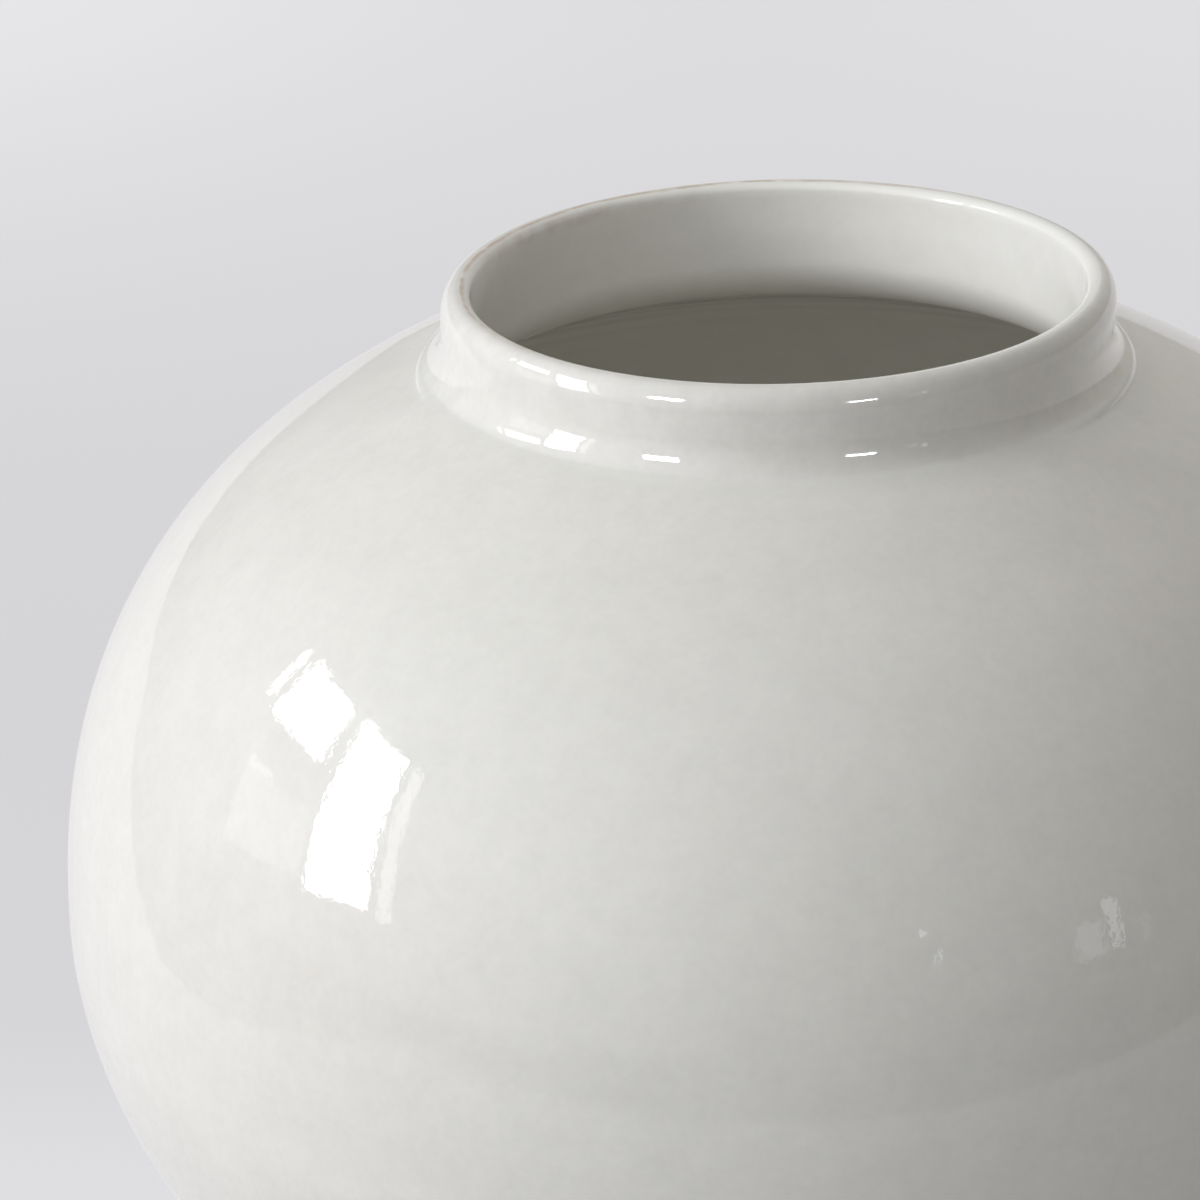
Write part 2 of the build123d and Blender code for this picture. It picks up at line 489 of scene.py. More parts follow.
    def over_the_roll(self, wall: np.ndarray) -> np.ndarray:
        """The inside wall, swelling over the roll of slip at the waist.

        The wall's own coat and the roll's half circle blend as a smooth greatest of the two: half
        their sum plus half the root of their difference squared and a small square.

        Args:
            wall: The wall's outline without the roll.

        Returns:
            The wall with finer points where it swells.
        """
        jar = self.jar
        reach = 4 * jar.seam_roll
        fine = np.arange(jar.waist_height + reach, jar.waist_height - reach, -self.step / 4)
        near = np.abs(wall[:, 1] - jar.waist_height) < reach
        first, last = np.flatnonzero(near)[[0, -1]]
        radius = np.interp(fine, wall[::-1, 1], wall[::-1, 0])
        coat = jar.glaze - self.depth
        bulge = np.sqrt(np.clip((jar.seam_roll + coat) ** 2 - (fine - jar.waist_height) ** 2, 0, None))
        raised = ((bulge + coat) + np.sqrt((bulge - coat) ** 2 + jar.glaze**2) - jar.glaze) / 2
        radius = radius - np.clip(raised - coat, 0, None)
        return chained(wall[:first], np.stack([radius, fine], -1), wall[last + 1:])

    def well(self, end_height: float) -> np.ndarray:
        """The recess in the foot ring, from the axis out and down its side.

        Args:
            end_height: The height on its side where it ends.

        Returns:
            The outline's points.
        """
        jar = self.jar
        level, side = jar.well_depth + self.depth, jar.well_radius + self.depth
        start, end = (side - jar.well_round, level), (side, level - jar.well_round)
        return chained(
            traced(straight((0, level), start), 2 * self.step),
            traced(bezier(start, (side, level), end), self.step / 4),
            traced(straight(end, (side, end_height)), self.step / 2),
        )

    def resting_face(self) -> np.ndarray:
        """The bare clay face that the jar stands on, outwards, with both edges rounded.

        Returns:
            The outline's points.
        """
        jar, edge = self.jar, self.jar.foot_edge_round
        outer, inner = jar.foot_side(jar.glaze, edge), (jar.well_radius + jar.glaze, edge)
        outer_foot, inner_foot = (outer[0] - edge, 0), (inner[0] + edge, 0)
        return chained(
            traced(bezier(inner, (inner[0], 0), inner_foot), self.step / 4),
            traced(straight(inner_foot, outer_foot), self.step),
            traced(bezier(outer_foot, (outer[0], 0), outer), self.step / 4),
        )


@dataclass(frozen=True)
class HandOfThePotter:
    """The gentle unevenness of a jar thrown in two halves and joined by hand."""

    jar: JarSizes
    oval_share: float = 0.0035
    oval_turn: float = 30.0
    three_share: float = 0.0012
    three_turn: float = 100.0
    seam_swell: float = 0.35 * MM
    seam_width: float = 9 * MM
    collar_shift: float = -1.7 * MM
    collar_band: float = 18 * MM

    def bent(self, points: np.ndarray) -> np.ndarray:
        """Moves points by the unevenness.

        The radius grows by a share of cos 2a and of cos 3a, faded by the sine of the height from
        foot to crown, and by a bell round the waist seam. Then the points near the crease under
        the collar shift sideways by a bell of the height.

        Args:
            points: Places as an array whose last axis is x, y and z.

        Returns:
            The moved places.
        """
        x, y, z = np.moveaxis(points, -1, 0)
        angle, radius = np.arctan2(y, x), np.hypot(x, y)
        fade = np.sin(pi * np.clip(z / self.jar.crown_height, 0, 1))
        oval = self.oval_share * np.cos(2 * (angle - radians(self.oval_turn)))
        three = self.three_share * np.cos(3 * (angle - radians(self.three_turn)))
        seam = np.exp(-(((z - self.jar.waist_height) / self.seam_width) ** 2))
        uneven = 0.8 + 0.2 * np.sin(3 * angle + 1)
        grown = radius * (1 + fade * (oval + three))
        grown = grown + self.seam_swell * seam * uneven * radius / self.jar.belly_radius
        shift = self.collar_shift * np.exp(-(((z - self.jar.crease_height) / self.collar_band) ** 2))
        return np.stack([grown * np.cos(angle) + shift, grown * np.sin(angle), z], -1)


@dataclass(frozen=True)
class ThrowingRings:
    """The low spiral ridges that fingers leave on a thrown wall."""

    height: float
    pitch: float
    drift: float = 0.35

    def lift(self, run: np.ndarray, angle: np.ndarray) -> np.ndarray:
        """How far the surface stands out, for a run along the outline and an angle round the axis.

        Two sines of the run, one of them a little longer in pitch, turn with the angle as a spiral
        does, and a slow wave of both varies their strength.

        Args:
            run: Length along the outline.
            angle: Angle round the axis.

        Returns:
            The lift at each place.
        """
        first = np.sin(2 * pi * run / self.pitch + angle)
        second = np.sin(2 * pi * run / (self.pitch * (1 + self.drift)) - angle + 2)
        strength = 0.7 + 0.3 * np.sin(2 * angle + run / self.pitch)
        return self.height * strength * (0.6 * first + 0.4 * second)


# Meshes


def linked(name: str, data: bpy.types.ID, place: Matrix | None = None) -> bpy.types.Object:
    """Puts an object into the scene.

    Args:
        name: Its name.
        data: Its mesh, light or camera.
        place: Where it hangs, or none for the origin.

    Returns:
        The new object.
    """
    thing = bpy.data.objects.new(name, data)
    thing.matrix_world = place or Matrix()
    bpy.context.scene.collection.objects.link(thing)
    return thing


@dataclass(frozen=True)
class Turned:
    """A closed section carried once round the axis.

    The place at angle a is radius times cos a, radius times sin a and the height, bent by the hand
    of the potter. A section that starts and ends on the axis closes there in two poles. Where
    there is a front section, the section passes into it towards the front and the back, by one
    minus a smooth step of the size of cos a, with ends of its own on the right and on the left.
    """

    name: str
    section: np.ndarray
    hand: HandOfThePotter
    around: int = 192
    front_section: np.ndarray | None = None
    front_ends: tuple = ((0.72, 0.93), (0.93, 1.0))
    rings: ThrowingRings | None = None
    ringed_rows: int = 0
    ring_margin: int = 8
    ring_fade: int = 20
    crease_angle: float = 40.0

    def grid(self) -> np.ndarray:
        """Places as an array of section points by steps round the axis.

        Returns:
            The places.
        """
        section = self.section
        angle = np.linspace(0, 2 * pi, self.around, endpoint=False)
        radius, height = section[:, :1] + 0 * angle, section[:, 1:] + 0 * angle
        if self.front_section is not None:
            right, left = np.array(self.front_ends)[:, :, None]
            low, high = np.where(np.cos(angle) > 0, right, left)
            share = np.clip((np.abs(np.cos(angle)) - low) / (high - low), 0, 1)
            share = 1 - share**2 * (3 - 2 * share)
            change = self.front_section - section
            radius, height = radius + share * change[:, :1], height + share * change[:, 1:]
        if self.rings is not None:
            run = run_along(section)
            tangent = np.gradient(section, run, axis=0)
            tangent = tangent / np.linalg.norm(tangent, axis=1)[:, None]
            normal = np.stack([-tangent[:, 1], tangent[:, 0]], -1)
            rows = np.arange(len(section))
            inside = np.minimum(rows, self.ringed_rows - rows) - self.ring_margin
            fade = np.clip(inside / self.ring_fade, 0, 1)
            lift = self.rings.lift(run[:, None], angle[None]) * fade[:, None]
            radius, height = radius + lift * normal[:, :1], height + lift * normal[:, 1:]
        return self.hand.bent(np.stack([radius * np.cos(angle), radius * np.sin(angle), height], -1))

    def build(self) -> bpy.types.Object:
        """Makes the mesh, with outward faces and closed seams and poles.

        Returns:
            The new object.
        """
        section, n = self.section, self.around
        grid = self.grid()
        rows = len(section)
        poled = section[0, 0] < 1e-9 and section[-1, 0] < 1e-9
        index = np.arange(rows * n).reshape(rows, n)
        if poled:
            vertices = np.concatenate([grid[0, :1], grid[1:-1].reshape(-1, 3), grid[-1, :1]])
            index = np.arange(1, 1 + (rows - 2) * n).reshape(rows - 2, n)
            lower, upper = index[:-1], index[1:]
        else:
            vertices = grid.reshape(-1, 3)
            lower, upper = index, np.roll(index, -1, axis=0)
        turned = np.roll(lower, -1, axis=1), np.roll(upper, -1, axis=1)
        faces = np.stack([lower, turned[0], turned[1], upper], -1).reshape(-1, 4).tolist()
        if poled:
            first, last = index[0], index[-1]
            faces += np.stack([0 * first, np.roll(first, -1), first], -1).tolist()
            faces += np.stack([last, np.roll(last, -1), 0 * last + len(vertices) - 1], -1).tolist()
        if self.signed_area() > 0:
            faces = [face[::-1] for face in faces]
        mesh = bpy.data.meshes.new(self.name)
        mesh.from_pydata(vertices.tolist(), [], faces)
        mesh.shade_smooth()
        mesh.set_sharp_from_angle(angle=radians(self.crease_angle))
        return linked(self.name, mesh)

    def signed_area(self) -> float:
        """The section's area, positive where its points run clockwise round it in radius and height."""
        r, z = self.section.T
        return float(np.sum(np.roll(r, -1) * z - r * np.roll(z, -1)) / 2)


def seated(piece: bpy.types.Object, finish: bpy.types.Material, slot: Slot, *nodes: str) -> None:
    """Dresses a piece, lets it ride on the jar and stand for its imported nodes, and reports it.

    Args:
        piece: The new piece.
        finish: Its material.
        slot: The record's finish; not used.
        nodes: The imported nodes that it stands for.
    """
    piece.data.materials.append(finish)
    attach(piece, BODY)
    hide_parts(*nodes)
    LOG.info("%s stands for %s with %d faces", piece.name, ", ".join(nodes), len(piece.data.polygons))


# Shader maths


def operator(operation: str, reflected: bool = False) -> Callable:
    """A method that adds one Math node for a Python operator.

    Args:
        operation: The node's operation.
        reflected: Whether the other operand comes first.

    Returns:
        The method of Amount.
    """

    def applied(this: "Amount", other: "Amount | float") -> "Amount":
        """This and the other, or the other and this, through the node."""
        return this.paint.maths(operation, *((other, this) if reflected else (this, other)))

    return applied


class Amount:
    """A number that varies over a surface, as a socket that Python arithmetic can use."""

    def __init__(self, paint: "Paint", socket: bpy.types.NodeSocket) -> None:
        """Keeps the socket and the material that it belongs to."""
        self.paint = paint
        self.socket = socket

    __add__, __radd__ = operator("ADD"), operator("ADD", True)
    __sub__, __rsub__ = operator("SUBTRACT"), operator("SUBTRACT", True)
    __mul__, __rmul__ = operator("MULTIPLY"), operator("MULTIPLY", True)
    __pow__ = operator("POWER")


Linkable = Amount | bpy.types.NodeSocket | float | tuple


class Paint:
    """A material or a world whose nodes are written as Python."""

    def __init__(self, owner: bpy.types.Material | bpy.types.World, coordinates: str = "Object") -> None:
        """Starts with no nodes but the coordinates.

        Args:
            owner: The material or world.
            coordinates: Object for places on a piece, or Generated for directions in a world.
        """
        self.owner = owner
        owner.use_nodes = True
        self.tree = owner.node_tree
        self.tree.nodes.clear()
        self.coordinates = self.node("ShaderNodeTexCoord").outputs[coordinates]
        place = self.node("ShaderNodeSeparateXYZ", Vector=self.coordinates)
        self.x, self.y, self.z = (Amount(self, place.outputs[axis]) for axis in "XYZ")

    @classmethod
    def named(cls, name: str) -> "Paint":
        """A new material of that name."""
        return cls(bpy.data.materials.new(name))

    def node(self, kind: str, settings: dict | None = None, **values: Linkable) -> bpy.types.Node:
        """Adds a node.

        Args:
            kind: The node's type.
            settings: Properties that are set first, such as a Math node's operation.
            values: Each input's value or link, by its name with underscores for spaces.

        Returns:
            The new node.
        """
        node = self.tree.nodes.new(kind)
        for name, value in (settings or {}).items():
            setattr(node, name, value)
        for name, value in values.items():
            self.feed(node, name.replace("_", " "), value)
        return node

    def feed(self, node: bpy.types.Node, name: str, value: Linkable) -> None:
        """Gives one input, the first live one of that name, its value or link.

        Args:
            node: The node.
            name: The input's name.
            value: Its value or link.
        """
        socket = next(s for s in node.inputs if s.enabled and s.name == name and not s.is_linked)
        if isinstance(value, Amount):
            value = value.socket
        if isinstance(value, bpy.types.NodeSocket):
            self.tree.links.new(value, socket)
        elif isinstance(value, tuple) and socket.type == "RGBA":
            socket.default_value = (*value, 1)
        else:
            socket.default_value = value

    def maths(self, operation: str, *operands: "Amount | float") -> Amount:
        """One Math node on one, two or three operands.

        Args:
            operation: What the node works out.
            operands: Its numbers.

        Returns:
            The result.
        """
        node = self.node("ShaderNodeMath", {"operation": operation})
        for socket, value in zip(node.inputs, operands):
            if isinstance(value, Amount):
                self.tree.links.new(value.socket, socket)
            else:
                socket.default_value = value
        return Amount(self, node.outputs[0])

    def radius(self) -> Amount:
        """The distance from the jar's axis: the root of x squared plus y squared."""
        return self.maths("SQRT", self.x * self.x + self.y * self.y)

    def moved(self, place: tuple, stretch: tuple = (1, 1, 1)) -> bpy.types.NodeSocket:
        """The coordinates, scaled along x, y and z and then shifted."""
        settings = {"Vector": self.coordinates, "Location": place, "Scale": stretch}
        return self.node("ShaderNodeMapping", None, **settings).outputs[0]

    def rising(self, value: Amount, low: float, high: float) -> Amount:
        """A smooth step from 0 at low to 1 at high.

        Args:
            value: The number.
            low: Where the step starts.
            high: Where it ends.

        Returns:
            The step.
        """
        settings = {"interpolation_type": "SMOOTHSTEP"}
        node = self.node("ShaderNodeMapRange", settings, Value=value, From_Min=low, From_Max=high)
        return Amount(self, node.outputs["Result"])

    def cloud(
        self, size: float, detail: float = 2, place: tuple = (0, 0, 0), stretch: tuple = (1, 1, 1)
    ) -> Amount:
        """Soft noise from 0 to 1 of a given size.

        Args:
            size: How far apart its blots lie.
            detail: How many finer octaves it has.
            place: A shift that picks another stretch of the noise.
            stretch: Scale along x, y and z.

        Returns:
            The noise.
        """
        place = self.moved(place, stretch)
        noise = self.node("ShaderNodeTexNoise", None, Vector=place, Scale=1 / size, Detail=detail)
        return Amount(self, noise.outputs[0])

    def dots(self, spacing: float, radius: float, kept: float, place: tuple = (0, 0, 0)) -> Amount:
        """Small round dots, 1 in their middle and 0 outside.

        Args:
            spacing: The size of the cells that hold one dot each.
            radius: The dots' radius.
            kept: The share of the cells that show their dot.
            place: A shift that picks another set.

        Returns:
            The dots.
        """
        cells = self.node("ShaderNodeTexVoronoi", None, Vector=self.moved(place), Scale=1 / spacing)
        edge = radius / spacing
        near = 1 - self.rising(Amount(self, cells.outputs["Distance"]), 0.4 * edge, edge)
        chance = self.node("ShaderNodeSeparateColor", None, Color=cells.outputs["Color"]).outputs[0]
        return near * self.maths("GREATER_THAN", Amount(self, chance), 1 - kept)

    def mixed(self, share: Amount | float, first: Linkable, second: Linkable) -> bpy.types.NodeSocket:
        """The first colour moved towards the second by a share."""
        node = self.node("ShaderNodeMix", {"data_type": "RGBA"}, Factor=share, A=first, B=second)
        return next(s for s in node.outputs if s.enabled)

    def scaled(self, share: Amount | float, colour: Linkable) -> bpy.types.NodeSocket:
        """A colour times a number."""
        node = self.node("ShaderNodeVectorMath", {"operation": "SCALE"}, Vector=colour, Scale=share)
        return node.outputs[0]

    def summed(self, first: Linkable, second: Linkable) -> bpy.types.NodeSocket:
        """The sum of two colours.

        Args:
            first: One colour.
            second: The other.

        Returns:
            The sum.
        """
        node = self.node("ShaderNodeVectorMath", {"operation": "ADD"})
        for socket, value in zip(node.inputs, (first, second)):
            self.tree.links.new(value, socket)
        return node.outputs[0]

    def finished(self, surface: bpy.types.Node, output: str = "ShaderNodeOutputMaterial") -> bpy.types.ID:
        """Gives the material or the world its surface."""
        self.tree.links.new(surface.outputs[0], self.node(output).inputs["Surface"])
        return self.owner

    def clad(self, colour: Linkable, rough: Amount, lift: Amount, **more: Linkable) -> bpy.types.Material:
        """Finishes a material as one solid surface.

        Args:
            colour: Its base colour.
            rough: Its roughness.
            lift: How far its skin stands out, in metres.
            more: Other inputs of the shader.

        Returns:
            The material.
        """
        bump = self.node("ShaderNodeBump", None, Height=lift, Distance=1.0, Strength=1.0)
        surface = {"Base_Color": colour, "Roughness": rough, "Normal": bump.outputs[0]}
        return self.finished(self.node("ShaderNodeBsdfPrincipled", None, **surface, **more))


# Finishes


@dataclass(frozen=True)
class GlazeFinish:
    """A milky porcelain glaze: glossy, softly clouded, warm where it runs thin, grey where it pools and
    painted darker in the crease under the collar.
    """

    name: str
    cool: tuple = (0.810, 0.804, 0.766)
    warm: tuple = (0.840, 0.808, 0.763)
    shade: float = 0.18
    collar_shade: float = 0.4
    streak_shade: float = 0.02
    tone: float = 0.967
    thin: tuple = (0.640, 0.520, 0.430)
    thin_line: float = 0.9
    thin_blots: float = 0.35
    # The pool colour is greyer and darker: the pooled glaze's tint together with painted shade in the
    # crease.
    pool_and_shade_grey: tuple = (0.735, 0.745, 0.715)
    pool_and_shade_share: float = 0.35
    pool_and_shade_reach: tuple = (1 * MM, 7 * MM)
    speck: tuple = (0.420, 0.350, 0.270)
    speck_share: float = 0.55
    roughness: float = 0.03
    cloud_rough: float = 0.03
    bending: float = 1.52
    cloud_size: float = 95 * MM
    cloud_warmth: float = 0.4
    blotch_warmth: float = 1.2
    mean_warmth: float = 0.3
    mottle_sizes: tuple = (2.2 * MM, 6 * MM, 16 * MM)
    ripple_size: float = 2.4 * MM
    ripple_lift: float = 0.012 * MM
    ring_pitch: float = 7 * MM
    ring_lift: float = 0.0028 * MM
    pit_depth: float = 0.03 * MM
    line_inset: float = 0.7 * MM
    line_width: float = 1.1 * MM

    def made(self, jar: JarSizes) -> bpy.types.Material:
        """Builds the material for this jar.

        Args:
            jar: The jar's sizes.

        Returns:
            The material.
        """
        paint = Paint.named(self.name)
        cloud = paint.rising(paint.cloud(self.cloud_size, 3), 0.3, 0.7)
        fine, middle, coarse = (paint.cloud(size, 1, (3, 1, 2 + size)) for size in self.mottle_sizes)
        blotch = paint.cloud(self.mottle_sizes[1], 2, (8, 5, 3))
        collar = paint.rising(paint.z, jar.crease_height - 6 * MM, jar.crease_height + 6 * MM)
        streak = paint.cloud(3 * MM, 2, (2, 7, 1), (0.15, 0.15, 1))
        warmth = self.cloud_warmth * cloud + self.blotch_warmth * (blotch - 0.5) + self.mean_warmth
        mottle = (fine + middle + coarse - 1.5) * (self.shade / 3) * (1 + self.collar_shade * collar)
        mottle = mottle + (streak - 0.5) * self.streak_shade
        colour = paint.scaled(self.tone + mottle, paint.mixed(warmth, self.cool, self.warm))
        colour = paint.mixed(self.thinning(paint, jar), colour, self.thin)
        # Greyer and darker round the crease under the collar: pooled glaze and painted shade.
        colour = paint.mixed(self.pooling_and_crease_shade(paint, jar), colour, self.pool_and_shade_grey)
        specks = paint.dots(26 * MM, 0.35 * MM, 0.3) + paint.dots(41 * MM, 0.5 * MM, 0.3, (5, 2, 7))
        colour = paint.mixed(self.speck_share * specks, colour, self.speck)
        dull = paint.rising(paint.cloud(30 * MM, 3, (7, 4, 1)), 0.45, 0.75)
        rough = self.roughness + self.cloud_rough * dull
        return paint.clad(colour, rough, self.relief(paint), IOR=self.bending)

    def thinning(self, paint: Paint, jar: JarSizes) -> Amount:
        """Where the glaze runs thin: a wandering line just inside the lip's crown, and blots within it.

        The line is one where the radius is that of the crown less the inset, and fades to both
        sides. It is strongest on the left and is missing in front.

        Args:
            paint: The material's nodes.
            jar: The jar's sizes.

        Returns:
            The thinness, from 0 to 1.
        """
        wander = (paint.cloud(22 * MM, 3, (2, 9, 4)) - 0.5) * (2.4 * MM)
        away = paint.radius() - (jar.crown_radius - self.line_inset) + wander
        line = 1 - paint.rising(paint.maths("ABSOLUTE", away), 0.1 * self.line_width, self.line_width)
        line = line * paint.rising(paint.z, jar.crown_height - 2 * MM, jar.crown_height - 1 * MM)
        side = paint.rising(paint.y * 0.8 - paint.x, -0.5 * jar.neck_radius, 0.9 * jar.neck_radius)
        broken = paint.rising(paint.cloud(9 * MM, 3, (6, 2, 4)), 0.2, 0.6)
        blots = paint.rising(paint.cloud(9 * MM, 3, (3, 3, 8)), 0.4, 0.7) * (
            paint.rising(paint.z, jar.crown_height - 6 * MM, jar.crown_height - 3.5 * MM)
            * (1 - paint.rising(paint.radius(), jar.crown_radius - 3 * MM, jar.crown_radius - 2 * MM))
            * paint.rising(-1 * paint.x, 0, 0.8 * jar.neck_radius)
            * paint.rising(paint.y, 0, 0.5 * jar.neck_radius)
        )
        return paint.maths("MINIMUM", line * side * broken * self.thin_line + blots * self.thin_blots, 1.0)

    def pooling_and_crease_shade(self, paint: Paint, jar: JarSizes) -> Amount:
        """Where the glaze pools round the crease under the collar: greyer for the pooled glaze and darker
        for painted shade in the crease.

        Args:
            paint: The material's nodes.
            jar: The jar's sizes.

        Returns:
            The share of the pooled colour, with its painted shade.
        """
        out = paint.radius() - jar.base_radius
        up = paint.z - jar.crease_height
        away = paint.maths("SQRT", out * out + up * up)
        return (1 - paint.rising(away, *self.pool_and_shade_reach)) * self.pool_and_shade_share

    def relief(self, paint: Paint) -> Amount:
        """The glaze's skin: fine throwing rings, a slow ripple and pinholes.

        Args:
            paint: The material's nodes.

        Returns:
            The lift in metres.
        """
        wander = paint.cloud(60 * MM, 2, (4, 4, 4)) * (2.5 * self.ring_pitch)
        rings = paint.maths("SINE", (paint.z + wander) * (2 * pi / self.ring_pitch))
        ripple = paint.cloud(self.ripple_size, 2, (1, 6, 3)) * (2 * self.ripple_lift)
        pits = paint.dots(11 * MM, 0.25 * MM, 0.25, (8, 3, 5)) * self.pit_depth
        return rings * self.ring_lift + ripple - pits


@dataclass(frozen=True)
class BareClay:
    """Fired porcelain without glaze: matt, warm, with a toasted line beside the coat."""

    name: str
    body: tuple = (0.800, 0.735, 0.650)
    toast: tuple = (0.640, 0.430, 0.270)
    toast_share: float = 0.45
    grit: tuple = (0.5, 0.44, 0.36)
    grit_share: float = 0.5
    grit_lift: float = 0.12 * MM
    grain_lift: float = 0.04 * MM
    grain_rough: float = 0.2
    roughness: float = 0.62

    def made(self, jar: JarSizes) -> bpy.types.Material:
        """Builds the material for this jar.

        Args:
            jar: The jar's sizes.

        Returns:
            The material.
        """
        paint = Paint.named(self.name)
        flash = 1 - paint.rising(paint.z, 0.6 * jar.bare_band, 1.6 * jar.bare_band)
        uneven = paint.rising(paint.cloud(9 * MM, 4), 0.35, 0.75)
        grain = paint.cloud(0.7 * MM, 3, (5, 5, 5))
        colour = paint.mixed(self.toast_share * flash * uneven, self.body, self.toast)
        grit = paint.dots(3.5 * MM, 0.45 * MM, 0.35, (1, 2, 3))
        colour = paint.mixed(self.grit_share * grit, colour, self.grit)
        lift = grain * self.grain_lift + grit * self.grit_lift
        return paint.clad(colour, self.roughness + self.grain_rough * grain, lift)


# Sub-assemblies


@dataclass(frozen=True)
class Bowls:
    """The two thrown bowls and the slip that lutes them at the waist."""

    jar: JarSizes
    hand: HandOfThePotter
    clay: bpy.types.Material
    slip: bpy.types.Material
    step: float = 5 * MM
    roll_step: float = 0.3 * MM

    def build(self) -> None:
        """Builds and seats the three pieces."""
        nodes = {"lower_bowl": self.lower(), "upper_bowl": self.upper()}
        for node, section in nodes.items():
            seated(Turned("thrown_" + node, section, self.hand).build(), self.clay, Slot.CLAY, node)
        seam = Turned("luting_at_the_waist", self.seam(), self.hand).build()
        seated(seam, self.slip, Slot.SLIP, "waist_slip")

    @property
    def wall(self) -> Surface:
        """The clay's surface, under the coat of glaze."""
        return Surface(self.jar, self.jar.glaze, self.step)

    def lower(self) -> np.ndarray:
        """The lower bowl with its foot ring, from the middle of the well to the middle of the floor.

        Returns:
            The outline's points.
        """
        jar, wall, edge = self.jar, self.wall, self.jar.foot_edge_round
        joint = jar.waist_joint(-jar.slip / 2)
        outside = between(wall.bowl(edge)[::-1], edge, joint[-1, 1])
        inside = wall.inside()
        under = inside[inside[:, 1] < joint[0, 1] - jar.seam_roll]
        return chained(wall.well(edge), wall.resting_face(), outside, joint[::-1], under)

    def upper(self) -> np.ndarray:
        """The upper bowl, from the seat of the collar down the outside and up the inside.

        Returns:
            The outline's points.
        """
        jar, wall = self.jar, self.wall
        joint, seat = jar.waist_joint(jar.slip / 2), wall.crease()[1]
        outside = between(wall.shoulder(), joint[-1, 1], seat)
        inside = between(wall.inside(), joint[0, 1] + jar.seam_roll, seat)
        return chained(outside, joint[::-1], inside[::-1])

    def seam(self) -> np.ndarray:
        """The slip in the tongued joint, with the roll that it squeezes out inside.

        Returns:
            The outline's points.
        """
        jar = self.jar
        centre = (jar.inner_belly_radius + jar.glaze, jar.waist_height)
        roll = traced(ellipse(centre, (jar.seam_roll,) * 2, (90, 270)), self.roll_step)
        return chained(jar.waist_joint(-jar.slip / 2), jar.waist_joint(jar.slip / 2)[::-1], roll)


@dataclass(frozen=True)
class Collar:
    """The thrown collar and the slip that it sits in."""

    jar: JarSizes
    hand: HandOfThePotter
    clay: bpy.types.Material
    slip: bpy.types.Material
    step: float = 4 * MM

    def build(self) -> None:
        """Builds and seats the two pieces."""
        seat = self.wall.crease()[1]
        bed = seat + self.jar.slip
        collar = Turned("thrown_collar", self.ring(bed, self.jar.crown_height), self.hand).build()
        seated(collar, self.clay, Slot.CLAY, "neck_collar")
        slip = Turned("luting_under_the_collar", self.ring(seat, bed), self.hand).build()
        seated(slip, self.slip, Slot.SLIP, "collar_slip")

    @property
    def wall(self) -> Surface:
        """The clay's surface, under the coat of glaze."""
        return Surface(self.jar, self.jar.glaze, self.step)

    def ring(self, low: float, high: float) -> np.ndarray:
        """The clay of the collar between two heights.

        Args:
            low: The lower height.
            high: The upper height.

        Returns:
            The outline's points.
        """
        wall, corner = self.wall, self.wall.crease()
        side = np.array([(corner[0], self.jar.bead_height), corner])
        outside = chained(wall.outer_lip(), wall.collar(), side)
        inside = chained(wall.inner_lip(), wall.throat())
        return chained(between(outside, low, high), between(inside, low, high)[::-1])


@dataclass(frozen=True)
class Coats:
    """The three coats of glaze: outside, inside and in the recess under the base."""

    jar: JarSizes
    hand: HandOfThePotter
    # inner: the glaze of the inside and of the foot's recess, painted lighter to stand in for light.
    outer: bpy.types.Material
    inner: bpy.types.Material
    step: float = 2.3 * MM
    hidden_step: float = 9 * MM
    outer_around: int = 256
    inner_around: int = 216
    outer_rings: ThrowingRings = ThrowingRings(0.035 * MM, 34 * MM)
    inner_rings: ThrowingRings = ThrowingRings(0.16 * MM, 13 * MM)

    def build(self) -> None:
        """Builds and seats the three pieces."""
        jar, edge = self.jar, self.jar.bare_band
        skin, under = Surface(jar, 0, self.step), Surface(jar, jar.glaze, self.hidden_step)
        front, back = skin.outside(edge), under.outside(edge)[::-1]
        section, flowing = (np.concatenate([part, back]) for part in (front, jar.flowing_foot(front)))
        outer = Turned(
            "glaze_outside", section, self.hand, self.outer_around,
            front_section=flowing, rings=self.outer_rings, ringed_rows=len(front),
        )
        seated(outer.build(), self.outer, Slot.OUTER_GLAZE, "outer_glaze")
        front = skin.inside()[::-1]
        inner = Turned(
            "glaze_inside", chained(front, under.inside()), self.hand, self.inner_around,
            rings=self.inner_rings, ringed_rows=len(front),
        )
        seated(inner.build(), self.inner, Slot.INNER_GLAZE, "inner_glaze")
        back = Surface(jar, jar.glaze, self.step).well(edge)[::-1]
        well = Turned("glaze_in_the_foot", chained(skin.well(edge), back), self.hand)
        seated(well.build(), self.inner, Slot.INNER_GLAZE, "foot_well_glaze")


# Stage, light and camera


def facing(azimuth: float, height: float) -> Vector:
    """A direction from the jar, in degrees: azimuth 0 is in front of it and 90 on its right."""
    side, rise = radians(azimuth), radians(height)
    return Vector((cos(rise) * sin(side), -cos(rise) * cos(side), sin(rise)))


def rolled(level: Vector, above: Vector, turn: float) -> tuple[Vector, Vector]:
    """Two directions square to each other, both turned in their plane by an angle in radians."""
    return cos(turn) * level + sin(turn) * above, cos(turn) * above - sin(turn) * level


def hung(centre: Vector, right: Vector, up: Vector) -> Matrix:
    """The place of a lamp or a camera, which looks along minus its right crossed with its up."""
    axes = Matrix((right, up, right.cross(up))).transposed()
    return Matrix.Translation(centre) @ axes.normalized().to_4x4()


